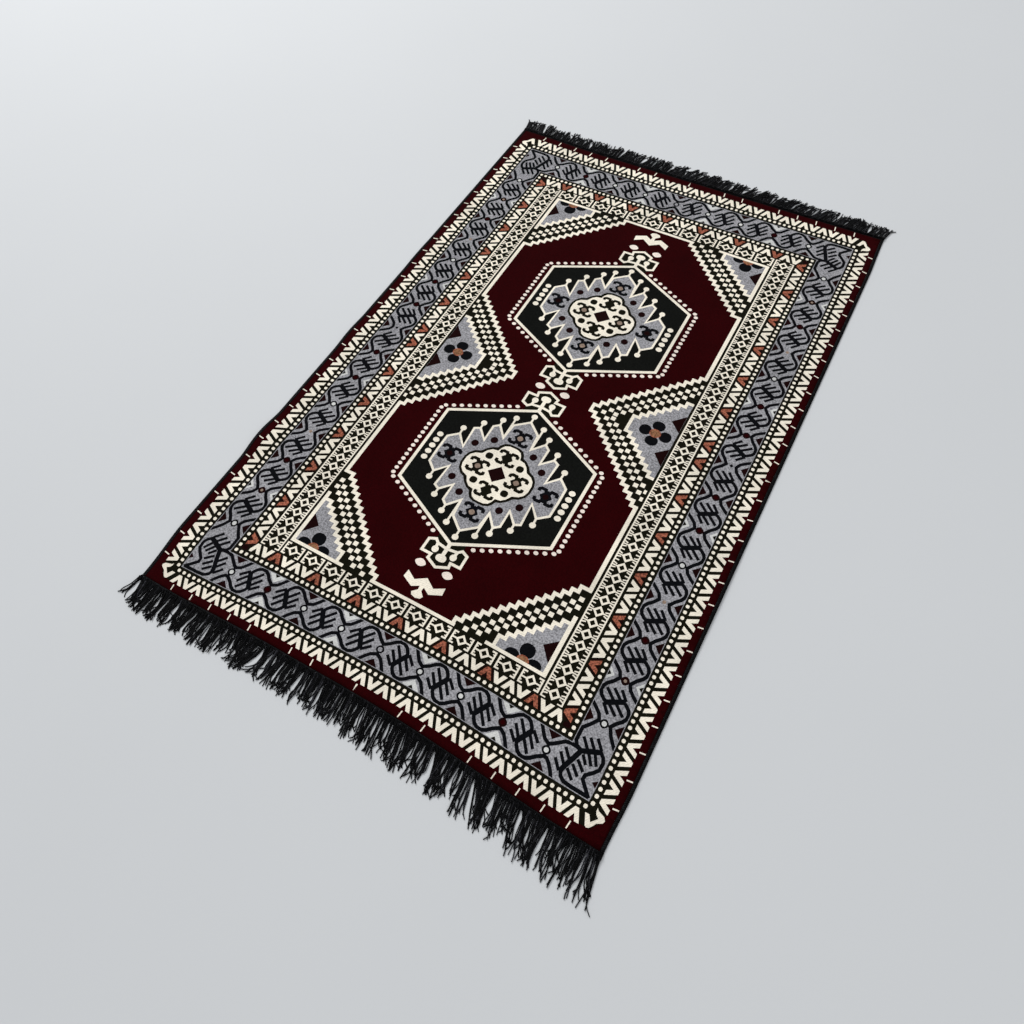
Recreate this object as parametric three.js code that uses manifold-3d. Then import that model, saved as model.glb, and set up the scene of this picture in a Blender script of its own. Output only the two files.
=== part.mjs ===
// A washable kilim rug of 120 by 180 cm: a thin woven cloth, overcast with black yarn along its long
// edges, with a black yarn fringe sewn to each end. All sizes are in millimetres. The rug lies on the
// floor at z = 0 with its length along Y and its near end at -Y.

import * as THREE from 'three';
import { mergeVertices } from 'three/addons/utils/BufferGeometryUtils.js';
import Module from 'manifold-3d';

const wasm = await Module();
wasm.setup();

// Driving dimensions of the cloth and what is sewn round it
const RUG_WIDTH = 1200;
const CLOTH_LENGTH = 1800;
const CLOTH_THICKNESS = 3;
const SEAM_GAP = 0.3;
const EDGING_WIDTH = 8.7;
const EDGING_HEIGHT = 4.6;
const HEADER_WIDTH = 14;
const HEADER_HEIGHT = 4.2;
const HEADER_CHAMFER = 0.7;
const CLOTH_WIDTH = RUG_WIDTH - 2 * (EDGING_WIDTH + SEAM_GAP);

// How finely the cloth follows its unevenness
const CELLS_ACROSS = 14;
const CELLS_ALONG = 60;
const CROWDING = 0.35; // moves the lines between cells towards the long edges, where the cloth lifts

// The fringe: locks of twisted yarn, three-sided, flat on the floor
const LOCKS_PER_END = 148;
const LOCK_ROOT_WIDTH = 5.2;
const LOCK_TIP_WIDTH = 2.8;
const LOCK_ROOT_HEIGHT = 3.2;
const LOCK_TIP_HEIGHT = 2.2;
const LOCK_ROOT_DEPTH = 5; // how far a root reaches into the header
const LOCK_ROOT_LIFT = 0.5; // roots start just off the floor, inside the header
const LOCK_KNEE = 8; // past the header, where a lock comes down to the floor
const CLUMP_SIZES = [3, 2, 4, 3, 3, 2, 4, 2, 3];
const CLUMP_DRAW = 0.42; // how much of its distance from the clump's middle a tip loses

const LOCK_BEND = 0.55; // where along a lock its middle ring lies
const CLUMP_CURVE = 1.3; // above 1, the tips of a clump close up more than its middle does

// Each end of the fringe: its locks' lengths at the left, middle and right and how much they vary, its
// lean in mm of travel for each mm of length, how much the clumps' leans vary, and where its chances start
const NEAR_FRINGE = {
  lengths: { left: 56, middle: 64, right: 74, vary: 7 },
  lean: { left: 0.02, right: 0.16, vary: 0.035 },
  seed: 0,
};
const FAR_FRINGE = {
  lengths: { left: 44, middle: 47, right: 42, vary: 6 },
  lean: { left: -0.34, right: 0.2, vary: 0.045 },
  seed: 500,
};
const CLUMP_SEED = 900;
const LOOSE_END_LENGTH = 92; // the last lock of the near fringe, by the right-hand corner

// Where the cloth lies unevenly. Around each place it is moved by x, y and z at the most, fading to
// nothing at the reach across and along the rug.
const PULLS = {
  nearLeftCornerOut: { at: [-600, -900], reach: [420, 330], by: [0, -18, 0] },
  nearLeftCornerIn: { at: [-600, -900], reach: [300, 140], by: [10, 0, 0] },
  nearEndMiddle: { at: [120, -900], reach: [380, 340], by: [0, 9, 0] },
  nearRightCorner: { at: [600, -900], reach: [300, 120], by: [-4, 0, 0] },
  farLeftCorner: { at: [-600, 900], reach: [300, 300], by: [0, 9, 0] },
  farRightCorner: { at: [600, 900], reach: [300, 150], by: [-4, 0, 0] },
  leftNearRipple: { at: [-600, -480], reach: [110, 85], by: [-2, 0, 7] },
  leftMiddleRipple: { at: [-600, -90], reach: [100, 75], by: [0, 0, 4] },
  leftFarRipple: { at: [-600, 255], reach: [90, 80], by: [0, 0, 2] },
  rightEdgeRipple: { at: [600, -330], reach: [120, 200], by: [0, 0, 2] },
};

const BURGUNDY_PILE = { color: 0x34060d, roughness: 0.95, metalness: 0 };
const BLACK_YARN = { color: 0x0c0c0d, roughness: 0.9, metalness: 0 };

// Where a point of the flat cloth ends up on the floor: the sum of all pulls on it
function lie(x, y) {
  const moved = new THREE.Vector3(x, y, 0);
  for (const pull of Object.values(PULLS)) {
    const across = (x - pull.at[0]) / pull.reach[0];
    const along = (y - pull.at[1]) / pull.reach[1];
    const fade = Math.max(0, 1 - across * across - along * along) ** 2;
    moved.add(new THREE.Vector3(...pull.by).multiplyScalar(fade));
  }
  return moved;
}

// The cloth's lines between cells, across and along. Across, they are closer together towards the edges.
function stationAcross(k) {
  const t = (2 * k) / CELLS_ACROSS - 1;
  return (CLOTH_WIDTH / 2) * ((1 + CROWDING) * t - CROWDING * t ** 3);
}

function stationAlong(k) {
  return CLOTH_LENGTH * (k / CELLS_ALONG - 0.5);
}

// One closed body whose neighbouring faces share their points
function welded(geometry) {
  geometry.deleteAttribute('normal');
  geometry.deleteAttribute('uv');
  return mergeVertices(geometry, 1e-4);
}

// Moves every point of a geometry to where place() puts it
function reshaped(geometry, place) {
  const points = geometry.getAttribute('position');
  const point = new THREE.Vector3();
  for (let i = 0; i < points.count; i += 1) {
    point.fromBufferAttribute(points, i);
    const moved = place(point);
    points.setXYZ(i, moved.x, moved.y, moved.z);
  }
  return geometry;
}

// A named piece of the rug with its own colour
function mesh(name, geometry, look) {
  geometry.computeVertexNormals();
  const piece = new THREE.Mesh(geometry, new THREE.MeshStandardMaterial(look));
  piece.name = name;
  return piece;
}

// The cloth: a thin slab in cells, each corner laid where the real cloth lies
function clothGeometry() {
  const slab = new THREE.BoxGeometry(1, 1, 1, CELLS_ACROSS, CELLS_ALONG, 1);
  return reshaped(welded(slab), (point) => {
    const x = stationAcross(Math.round((point.x + 0.5) * CELLS_ACROSS));
    const y = stationAlong(Math.round((point.y + 0.5) * CELLS_ALONG));
    const laid = lie(x, y);
    laid.z += (point.z + 0.5) * CLOTH_THICKNESS;
    return laid;
  });
}

// The edging in section, from the cloth's edge outwards: a roll of yarn with a flat bottom
function edgingSection() {
  const outer = SEAM_GAP + EDGING_WIDTH;
  const section = new THREE.Shape();
  section.moveTo(SEAM_GAP, 0);
  section.lineTo(SEAM_GAP + 0.88 * EDGING_WIDTH, 0);
  section.quadraticCurveTo(outer, 0, outer, 0.42 * EDGING_HEIGHT);
  section.quadraticCurveTo(outer, EDGING_HEIGHT, SEAM_GAP + 0.5 * EDGING_WIDTH, EDGING_HEIGHT);
  section.quadraticCurveTo(SEAM_GAP + 0.1 * EDGING_WIDTH, EDGING_HEIGHT, SEAM_GAP, 0.72 * EDGING_HEIGHT);
  return section;
}

// The header in section: a flat strip with chamfered top edges, upright where the locks come out
function headerSection() {
  const outer = SEAM_GAP + HEADER_WIDTH;
  const section = new THREE.Shape();
  section.moveTo(SEAM_GAP, 0);
  section.lineTo(outer, 0);
  section.lineTo(outer, HEADER_HEIGHT - HEADER_CHAMFER);
  section.lineTo(outer - 2 * HEADER_CHAMFER, HEADER_HEIGHT);
  section.lineTo(SEAM_GAP + 2 * HEADER_CHAMFER, HEADER_HEIGHT);
  section.lineTo(SEAM_GAP, HEADER_HEIGHT - 1.6 * HEADER_CHAMFER);
  return section;
}

// Carries the section along a row of stations on the cloth's edge, with its width pointing outward.
// The stations run so that outward, up and onward make a right-handed frame.
function rolled(section, stations, outward) {
  const spans = stations.length - 1;
  const bar = new THREE.ExtrudeGeometry(section, {
    depth: spans,
    steps: spans,
    curveSegments: 2,
    bevelEnabled: false,
  });
  return reshaped(welded(bar), (point) => {
    const station = stations[Math.round(point.z)];
    return station.clone().addScaledVector(outward, point.x).add(new THREE.Vector3(0, 0, point.y));
  });
}

// Overcast yarn along one long edge; side is -1 for the left and 1 for the right
function edgingGeometry(side) {
  const stations = [];
  for (let k = 0; k <= CELLS_ALONG; k += 1) {
    stations.push(lie((side * CLOTH_WIDTH) / 2, -side * stationAlong(k)));
  }
  return rolled(edgingSection(), stations, new THREE.Vector3(side, 0, 0));
}

// The stations of one end of the cloth, with a last one at each side to take in the edging's width.
// end is -1 for the near end and 1 for the far end.
function endStations(end) {
  const stations = [];
  for (let k = 0; k <= CELLS_ACROSS; k += 1) {
    stations.push(lie(end * stationAcross(k), (end * CLOTH_LENGTH) / 2));
  }
  const overhang = new THREE.Vector3(end * (EDGING_WIDTH + SEAM_GAP), 0, 0);
  stations.unshift(stations[0].clone().sub(overhang));
  stations.push(stations[stations.length - 1].clone().add(overhang));
  return stations;
}

// The end line's y at a given x, straight between its stations
function endLineAt(stations, x) {
  const ordered = [...stations].sort((a, b) => a.x - b.x);
  const last = ordered.length - 1;
  const k = Math.min(last - 1, Math.max(0, ordered.findIndex((point) => point.x > x) - 1));
  const share = (x - ordered[k].x) / (ordered[k + 1].x - ordered[k].x);
  return ordered[k].y + share * (ordered[k + 1].y - ordered[k].y);
}

// A fixed number from 0 to 1 for each whole number, spread as if by chance
function spread(seed) {
  const value = Math.sin(seed * 12.9898 + 4.1) * 43758.5453;
  return value - Math.floor(value);
}

// The clump that lock i belongs to: its number, and the place of its middle in the row of locks
function clumpOf(i) {
  let first = 0;
  let number = 0;
  let size = CLUMP_SIZES[0];
  while (i >= first + size) {
    first += size;
    number += 1;
    size = CLUMP_SIZES[number % CLUMP_SIZES.length];
  }
  const after = Math.min(first + size, LOCKS_PER_END);
  return { number, middle: (first + after - 1) / 2 };
}

// The length of a lock at t, from 0 at the left of the row to 1 at its right, before it varies
function usualLength(lengths, t) {
  const side = t < 0.5 ? lengths.left : lengths.right;
  return lengths.middle + Math.abs(2 * t - 1) * (side - lengths.middle);
}

// One lock: a three-sided tapered strand from inside the header, down to the floor and out along it
function lockGeometry(i, end, fringe, stations) {
  const { lengths, lean, seed } = fringe;
  const firstX = Math.min(...stations.map((point) => point.x));
  const lastX = Math.max(...stations.map((point) => point.x));
  const pitch = (lastX - firstX) / LOCKS_PER_END;
  const t = (i + 0.5) / LOCKS_PER_END;
  const clump = clumpOf(i);
  const isLooseEnd = end < 0 && i === LOCKS_PER_END - 1;
  const varied = usualLength(lengths, t) + lengths.vary * (2 * spread(seed + i) - 1);
  const length = isLooseEnd ? LOOSE_END_LENGTH : varied;
  const strayed = lean.vary * (2 * spread(seed + CLUMP_SEED + clump.number) - 1);
  const leaning = lean.left + t * (lean.right - lean.left) + strayed;
  const draw = CLUMP_DRAW * (clump.middle - i) * pitch;
  const rootX = firstX + (i + 0.5) * pitch;
  const headerEdge = endLineAt(stations, rootX) + end * (SEAM_GAP + HEADER_WIDTH);

  // Rings at the root, the knee, the bend and the tip, by how far past the header each one is
  const outs = [-LOCK_ROOT_DEPTH, LOCK_KNEE, LOCK_BEND * length, length];
  const rings = outs.map((out, ring) => {
    const share = Math.max(0, out) / length;
    const x = rootX + leaning * Math.max(0, out) + draw * share ** CLUMP_CURVE;
    const halfWidth = 0.5 * (LOCK_ROOT_WIDTH + share * (LOCK_TIP_WIDTH - LOCK_ROOT_WIDTH));
    const height = LOCK_ROOT_HEIGHT + share * (LOCK_TIP_HEIGHT - LOCK_ROOT_HEIGHT);
    return { x, y: headerEdge + end * out, halfWidth, height, floor: ring === 0 ? LOCK_ROOT_LIFT : 0 };
  });
  const spans = rings.length - 1;
  const strand = new THREE.CylinderGeometry(1, 1, spans, 3, spans);
  return reshaped(welded(strand), (point) => {
    const ring = rings[Math.round(point.y + spans / 2)];
    const sideways = Math.round(point.x / Math.sin(Math.PI / 3));
    const up = point.z > 0.5 ? 1 : 0;
    return new THREE.Vector3(
      ring.x + end * sideways * ring.halfWidth,
      ring.y,
      ring.floor + up * (ring.height - ring.floor),
    );
  });
}

// Joining and its return to a three.js geometry
function solidOf(geometry) {
  const vertProperties = Float32Array.from(geometry.getAttribute('position').array);
  const triVerts = Uint32Array.from(geometry.getIndex().array);
  return new wasm.Manifold(new wasm.Mesh({ numProp: 3, vertProperties, triVerts }));
}

function geometryOf(solid) {
  const joined = solid.getMesh();
  const geometry = new THREE.BufferGeometry();
  geometry.setAttribute('position', new THREE.BufferAttribute(joined.vertProperties, 3));
  geometry.setIndex(new THREE.BufferAttribute(joined.triVerts, 1));
  return geometry;
}

// The fringe of one end: the header that holds the roots, and its locks, in one body
function fringeGeometry(end, fringe) {
  const stations = endStations(end);
  let joined = solidOf(rolled(headerSection(), stations, new THREE.Vector3(0, end, 0)));
  for (let i = 0; i < LOCKS_PER_END; i += 1) {
    joined = joined.add(solidOf(lockGeometry(i, end, fringe, stations)));
  }
  return geometryOf(joined);
}

const rug = new THREE.Group();
rug.name = 'kilim_rug';
rug.add(mesh('rug_panel', clothGeometry(), BURGUNDY_PILE));
rug.add(mesh('edge_binding_left', edgingGeometry(-1), BLACK_YARN));
rug.add(mesh('edge_binding_right', edgingGeometry(1), BLACK_YARN));
rug.add(mesh('fringe_near', fringeGeometry(-1, NEAR_FRINGE), BLACK_YARN));
rug.add(mesh('fringe_far', fringeGeometry(1, FAR_FRINGE), BLACK_YARN));

// The origin is under the middle of the whole rug, at floor level
const middle = new THREE.Box3().setFromObject(rug).getCenter(new THREE.Vector3());
rug.position.set(-middle.x, -middle.y, 0);
rug.updateMatrixWorld(true);

export default rug;
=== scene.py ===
"""Washable kilim rug of 120 by 180 cm: woven cloth, overcast long edges and a yarn fringe at each end.

Every shape is worked out in millimetres from the middle of the cloth and put into its mesh in metres.
"""

import math

import bmesh
import bpy
import numpy as np
from mathutils import Matrix, Vector
from mathutils.geometry import delaunay_2d_cdt


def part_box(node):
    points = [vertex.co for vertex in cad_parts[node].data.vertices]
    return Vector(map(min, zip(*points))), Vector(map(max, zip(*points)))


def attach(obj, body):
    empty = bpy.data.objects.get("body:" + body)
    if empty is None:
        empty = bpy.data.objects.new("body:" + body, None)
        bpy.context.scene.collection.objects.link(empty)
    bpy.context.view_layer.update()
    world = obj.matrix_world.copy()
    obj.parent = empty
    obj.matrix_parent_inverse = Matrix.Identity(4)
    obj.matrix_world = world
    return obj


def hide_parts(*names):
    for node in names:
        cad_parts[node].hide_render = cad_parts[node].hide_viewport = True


bl_info = {
    "name": "Washable Kilim Rug",
    "version": (1, 0, 0),
    "blender": (4, 5, 0),
    "location": "3D View > Sidebar > Rug",
    "description": "Builds a woven kilim rug with overcast edges and a yarn fringe",
    "category": "Add Mesh",
}

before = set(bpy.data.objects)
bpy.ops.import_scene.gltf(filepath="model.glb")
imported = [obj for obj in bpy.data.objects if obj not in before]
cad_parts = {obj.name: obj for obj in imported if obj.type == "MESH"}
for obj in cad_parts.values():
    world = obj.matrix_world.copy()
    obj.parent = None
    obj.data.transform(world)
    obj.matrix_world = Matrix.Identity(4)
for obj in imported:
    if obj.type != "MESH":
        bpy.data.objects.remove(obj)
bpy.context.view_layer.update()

# The cloth in mm, as it is woven, before it lies unevenly on the floor
CLOTH_HALF_WIDTH = 591.0
CLOTH_HALF_LENGTH = 900.0
SEAM_GAP = 0.3
EDGING_WIDTH = 8.7
HEADER_WIDTH = 14.0

# Where the cloth lies unevenly: the place, the reach across and along, and the most it moves by x, y, z
PULLS = (
    ((-600, -900), (420, 330), (0, -18, 0)),
    ((-600, -900), (300, 140), (10, 0, 0)),
    ((120, -900), (380, 340), (0, 9, 0)),
    ((600, -900), (300, 120), (-4, 0, 0)),
    ((-600, 900), (300, 300), (0, 9, 0)),
    ((600, 900), (300, 150), (-4, 0, 0)),
    ((-600, -480), (110, 85), (-2, 0, 7)),
    ((-600, -90), (100, 75), (0, 0, 4)),
    ((-600, 255), (90, 80), (0, 0, 2)),
    ((600, -330), (120, 200), (0, 0, 2)),
)


def lie(x, y):
    """Where points of the flat cloth come to lie, in mm: each plus the sum of the pulls on it.

    A pull fades with (1 - across^2 - along^2)^2, where across and along are shares of its reach.
    """
    moved = np.stack([x, y, np.zeros_like(x)], axis=-1).astype(float)
    for at, reach, by in PULLS:
        across = (x - at[0]) / reach[0]
        along = (y - at[1]) / reach[1]
        fade = np.maximum(0.0, 1.0 - across**2 - along**2) ** 2
        moved += fade[..., None] * np.array(by, float)
    return moved


# How far the pattern has drifted on the cloth, in mm for 1, X, Y, X^2, XY and Y^2: see drifted()
DRIFT_ACROSS = (5.7, -2.1, -0.2, -1.6, -0.5, 0.0)
DRIFT_ALONG = (-8.4, 5.3, -6.0, -5.8, -3.8, 3.1)


def drifted(flat):
    """Where points of the charted pattern come on the woven cloth, which is a little out of true.

    With X = x / 600 and Y = y / 900 each drift is a quadratic of X and Y, and the rims keep their place:
    the one across is multiplied by 1 - (x / 591)^10 and the one along by 1 - (y / 900)^10.
    """
    across, along = flat[:, 0] / 600, flat[:, 1] / 900
    terms = np.stack([np.ones_like(across), across, along, across**2, across * along, along**2], axis=1)
    held = 1.0 - (flat / (CLOTH_HALF_WIDTH, CLOTH_HALF_LENGTH)) ** 10
    return flat + held * np.stack([terms @ DRIFT_ACROSS, terms @ DRIFT_ALONG], axis=1)


def shift_to_frame():
    """How far the cloth's middle stands from the part's origin: its lowest corner against its solid's."""
    ends = np.linspace(-CLOTH_HALF_LENGTH, CLOTH_HALF_LENGTH, 61)
    sides = np.linspace(-CLOTH_HALF_WIDTH, CLOTH_HALF_WIDTH, 61)
    left = lie(np.full(61, -CLOTH_HALF_WIDTH), ends)
    near = lie(sides, np.full(61, -CLOTH_HALF_LENGTH))
    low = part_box("rug_panel")[0]
    return np.array([low[0] * 1000 - left[:, 0].min(), low[1] * 1000 - near[:, 1].min(), 0.0])


SHIFT = shift_to_frame()


def linear(code):
    """An sRGB hex colour as the linear red, green and blue that shaders take."""
    shares = [int(code[k : k + 2], 16) / 255 for k in (1, 3, 5)]
    return tuple(c / 12.92 if c <= 0.04045 else ((c + 0.055) / 1.055) ** 2.4 for c in shares)


# Outlines, in mm


def stroke(points, width):
    """The outline of a line of the given width: its points moved half the width to each side, mitred."""
    path = np.array(points, float)
    along = np.diff(path, axis=0)
    along /= np.linalg.norm(along, axis=1)[:, None]
    side = np.stack([-along[:, 1], along[:, 0]], axis=1)
    before = np.vstack([side[:1], side])
    after = np.vstack([side, side[-1:]])
    mitre = (before + after) / (1.0 + np.sum(before * after, axis=1))[:, None]
    return np.vstack([path + mitre * width / 2, (path - mitre * width / 2)[::-1]])


def lozenge(x, y, half_x, half_y):
    """A diamond with its corners on its two axes."""
    return np.array([(x + half_x, y), (x, y + half_y), (x - half_x, y), (x, y - half_y)], float)


def block(x0, y0, x1, y1):
    """An upright rectangle between two corners."""
    return np.array([(x0, y0), (x1, y0), (x1, y1), (x0, y1)], float)


def knot(x, y, half_x, half_y=None, squareness=1.0, sides=12):
    """A rounded spot, cos and sin of the angle raised to squareness: 1 is an ellipse, less is squarer."""
    half_y = half_x if half_y is None else half_y
    angle = (np.arange(sides) + 0.5) * 2 * math.pi / sides
    cos, sin = np.cos(angle), np.sin(angle)
    across = np.sign(cos) * np.abs(cos) ** squareness
    along = np.sign(sin) * np.abs(sin) ** squareness
    return np.stack([x + half_x * across, y + half_y * along], axis=1)


def turned(outline, at, x_axis, y_axis):
    """A motif drawn about its own middle, set at a place with its axes along the given directions."""
    return np.array(at, float) + outline @ np.array([x_axis, y_axis], float)


def both_ways(half, across=True):
    """A shape with its other half: the points again, mirrored about the axis and in reverse."""
    half = np.array(half, float)
    flip = np.array([-1, 1] if across else [1, -1], float)
    return np.vstack([half, (half * flip)[::-1]])


def four_ways(quarter):
    """A closed outline from its first quarter, drawn from the y axis to the x axis."""
    quarter = np.array(quarter, float)
    right = np.vstack([quarter, (quarter * [1, -1])[::-1]])
    return np.vstack([right, (right * [-1, 1])[::-1]])


class Chart:
    """The yarn areas of a quarter of the cloth, each laid over those before it."""

    def __init__(self):
        self.outlines = []
        self.yarns = []

    def lay(self, yarn, *outlines):
        """Adds areas of one yarn, each turned anticlockwise, because its inside is taken to be on the left."""
        for outline in outlines:
            points = np.asarray(outline, float)
            following = np.roll(points, -1, axis=0)
            area = np.sum(points[:, 0] * following[:, 1] - following[:, 0] * points[:, 1])
            self.outlines.append(points if area > 0 else points[::-1])
            self.yarns.append(yarn)


# The yarns, in the order of the cloth's material slots
BURGUNDY, OLIVE_BLACK, MEDALLION_BLACK, CREAM, BLUSH, PALE, GREY, RUST, AMBER, TAN, BLUE_BLACK, WINE = range(12)
YARN_COUNT = 12

# Places of the pattern in mm from the middle of the cloth, across and along
FRAME_ACROSS, FRAME_ALONG = 337.0, 667.0
DIAMOND_BAND = (350.0, 374.5, 399.4)
BRACKET_BAND = (675.0, 690.8, 706.6)
INNER_V_ACROSS, INNER_V_ALONG = (407.8, 430.8), (711.2, 735.2)
INNER_DOTS = (440.3, 744.9)
GREY_ACROSS, GREY_ALONG = (450.0, 531.4), (755.0, 836.4)
OUTER_DOTS = (539.8, 846.5)
OUTER_V_ACROSS, OUTER_V_ALONG = (549.8, 574.2), (855.5, 880.0)
MEDALLION_MIDDLE, MEDALLION_HALF_WIDTH, MEDALLION_HALF_HEIGHT, MEDALLION_SHOULDER = 288.5, 211.6, 214.0, 113.0


def chevron(height):
    """A chevron of the V bands, its blunt apex at the start of its height and its two legs at the end."""
    return np.array([(-4.2, 0), (4.2, 0), (16.6, height), (6.4, height), (0, 11.8), (-6.4, height), (-16.6, height)])


def lay_v_band(chart, band, side, pitch, ks, yarn_of, ticks):
    """A row of chevrons, turned in and out by turns. side is "across" for the long edges' band."""
    inner, outer = band
    height = outer - inner
    out = np.array([1, 0] if side == "across" else [0, 1], float)
    along = np.array([0, 1] if side == "across" else [1, 0], float)
    for k in ks:
        yarn, points_in = yarn_of(k)
        start = along * k * pitch + out * (inner if points_in else outer)
        facing = out if points_in else -out
        chart.lay(yarn, turned(chevron(height), start, along, facing))
        if yarn == RUST:
            chart.lay(WINE, turned(np.array([(0, 14.5), (4.6, height), (-4.6, height)]), start, along, out))
            for way in (-1, 1):
                halo = [(way * 6, 0), (way * 18.4, height), (way * 21.5, height), (way * 9, 0)]
                chart.lay(WINE, turned(np.array(halo, float), start, along, facing))
        if points_in and ticks is not None:
            chart.lay(BURGUNDY, turned(np.array([(0, 14.5), (5.6, height), (-5.6, height)]), start, along, out))
            if abs(k) not in ticks["missing"]:
                first, last = ticks["span"]
                line = [along * (k * pitch + 0.8) + out * first, along * (k * pitch - 1.2) + out * last]
                chart.lay(CREAM, stroke(line, 2.8))


def lay_outer_bands(chart):
    """The ground of the borders, the outer chevron band and its mitred corner."""
    chart.lay(OLIVE_BLACK, block(342, 0, OUTER_V_ACROSS[1] - 1.5, OUTER_V_ALONG[1] - 1.5))
    chart.lay(OLIVE_BLACK, block(0, 671, 400, OUTER_V_ALONG[1] - 1.5))

    def outer(k):
        return CREAM, k % 2 == 0

    chart.lay(BURGUNDY, [(548, 893), (593, 893), (593, 846), (571, 858), (552, 882)])
    lay_v_band(chart, OUTER_V_ACROSS, "across", 29.45, range(-1, 29), outer, {"span": (577, 590), "missing": ()})
    lay_v_band(chart, OUTER_V_ALONG, "along", 28.72, range(-1, 19), outer, {"span": (882.5, 897.5), "missing": (2, 8)})
    chart.lay(CREAM, [
        (534.5, 856), (543.5, 855.5), (551.5, 867), (556.5, 861), (562.5, 854.5), (555.5, 850), (552.5, 844.5),
        (552, 838), (556, 842), (563, 844), (571, 846.5), (575.5, 852.5), (573.5, 857.5), (563, 863.5),
        (559.5, 869.5), (554, 876.5), (549, 878.5), (545, 876.5),
    ])


def lay_inner_v_bands(chart):
    """The inner chevron bands with every fourth chevron in rust, and the turn at the corner."""
    def along_side(k):
        return (RUST if k % 4 == 1 else CREAM), k % 2 != 0

    def along_end(k):
        return (RUST if k % 4 == 0 else CREAM), k % 2 == 0

    lay_v_band(chart, INNER_V_ALONG, "along", 28.5, range(-1, 15), along_end, None)
    chart.lay(OLIVE_BLACK, block(412.5, 690, 434, 741))
    lay_v_band(chart, INNER_V_ACROSS, "across", 28.35, range(-1, 26), along_side, None)
    chart.lay(WINE, block(418, 727, 433, 737))


def lay_dots(chart):
    """The rows of rounded cream dots inside and outside the grey band."""
    spot = {"squareness": 0.72, "sides": 8}
    for k in range(51):
        chart.lay(CREAM, knot(INNER_DOTS[0], (k + 0.5) * 14.75, 4.2, 4.2, **spot))
    for k in range(30):
        chart.lay(CREAM, knot(k * 14.677, INNER_DOTS[1], 4.2, 4.2, **spot))
    for k in range(58):
        chart.lay(CREAM, knot(OUTER_DOTS[0], k * 14.66, 4.2, 4.2, **spot))
    for k in range(36):
        chart.lay(CREAM, knot((k + 0.5) * 14.92, OUTER_DOTS[1], 4.2, 4.2, **spot))


def lay_diamond_band(chart):
    """The long edges' band of diamonds between two toothed lines."""
    inner, middle, outer = DIAMOND_BAND
    pitch = 29.4
    chart.lay(CREAM, block(inner - 1.7, 0, inner + 1.7, 706.6), block(outer - 1.7, 0, outer + 1.7, 706.6))
    for k in range(24):
        y = (k + 0.5) * pitch
        chart.lay(CREAM, lozenge(middle, y, 13.8, 14.0))
        chart.lay(OLIVE_BLACK, lozenge(middle, y, 7.0, 7.2))
        for step in (-1, 0, 1, 2):
            reach = 14 if step == 0 else 10.5
            slant = {-1: 3.2, 0: 0.0, 1: -3.2, 2: 0.0}[step]
            level = y + step * pitch / 4
            for edge, way in ((inner, 1), (outer, -1)):
                chart.lay(CREAM, stroke([(edge, level), (edge + way * reach, level + slant)], 3.0))


def lay_bracket_band(chart):
    """The ends' band of diamonds held between pairs of toothed brackets."""
    low, middle, high = BRACKET_BAND
    for k in range(6):
        x = (k + 0.5) * 57.8
        chart.lay(CREAM, lozenge(x, middle, 13.6, 13.8))
        chart.lay(OLIVE_BLACK, lozenge(x, middle, 7.0, 7.2))
        for way in (-1, 1):
            bar = x + way * 23.6
            chart.lay(CREAM, block(bar - 2, low, bar + 2, high))
            chart.lay(CREAM, block(*sorted_pair(x + way * 12.5, bar, middle - 1.8, middle + 1.8)))
            for prong in (low + 2.0, high - 2.0):
                chart.lay(CREAM, block(*sorted_pair(bar - way * 9.5, bar, prong - 2.0, prong + 2.0)))
                inner_prong = prong + (6.0 if prong < middle else -6.0)
                chart.lay(CREAM, block(*sorted_pair(bar - way * 5, bar, inner_prong - 1.4, inner_prong + 1.4)))


def sorted_pair(x0, x1, y0, y1):
    """The four numbers of a block with its lower x first."""
    return min(x0, x1), y0, max(x0, x1), y1


# One repeat of the grey band, along it and out from its inner edge, in mm for a repeat of 103.4: half of
# its bent stroke, the stroke beside it, its spine and three teeth. The rest is the same, turned half round.
REPEAT = 103.4
LINK_MIDDLE = 40.7
WAVE = [(-3, 29.5), (12, 19.5), (22, 10), (31, 5), (41, 4.4), (50, 9), (57, 17.5), (60.5, 25)]
RIDGE = [(71, -1.5), (81, 12), (90, 22.5), (99, 27), (106.4, 29.5)]
SPINE = [(61.5, 23.5), (41.9, 57.9)]
TEETH = [[(30.5, 13.5), (52.5, 40)], [(24.5, 27.5), (46, 53.5)], [(20.5, 43), (40, 61)]]


def repeat_strokes():
    """The strokes of a repeat: each one drawn, and again turned half round about the repeat's middle."""
    strokes = [(WAVE, 8.2), (RIDGE, 8.0)] + [(tooth, 7.0) for tooth in TEETH]
    turned_round = [([(REPEAT - u, 2 * LINK_MIDDLE - v) for u, v in path], width) for path, width in strokes]
    return strokes + turned_round + [(SPINE, 11.5)]


def lay_repeats(chart, place, pitch, count):
    """The comb motifs of the grey band. place turns (along, out) into (x, y)."""
    scale = pitch / REPEAT
    for k in range(count):
        for path, width in repeat_strokes():
            points = [place(k * pitch + u * scale, v) for u, v in path]
            chart.lay(BLUE_BLACK, stroke(points, width))


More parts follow.
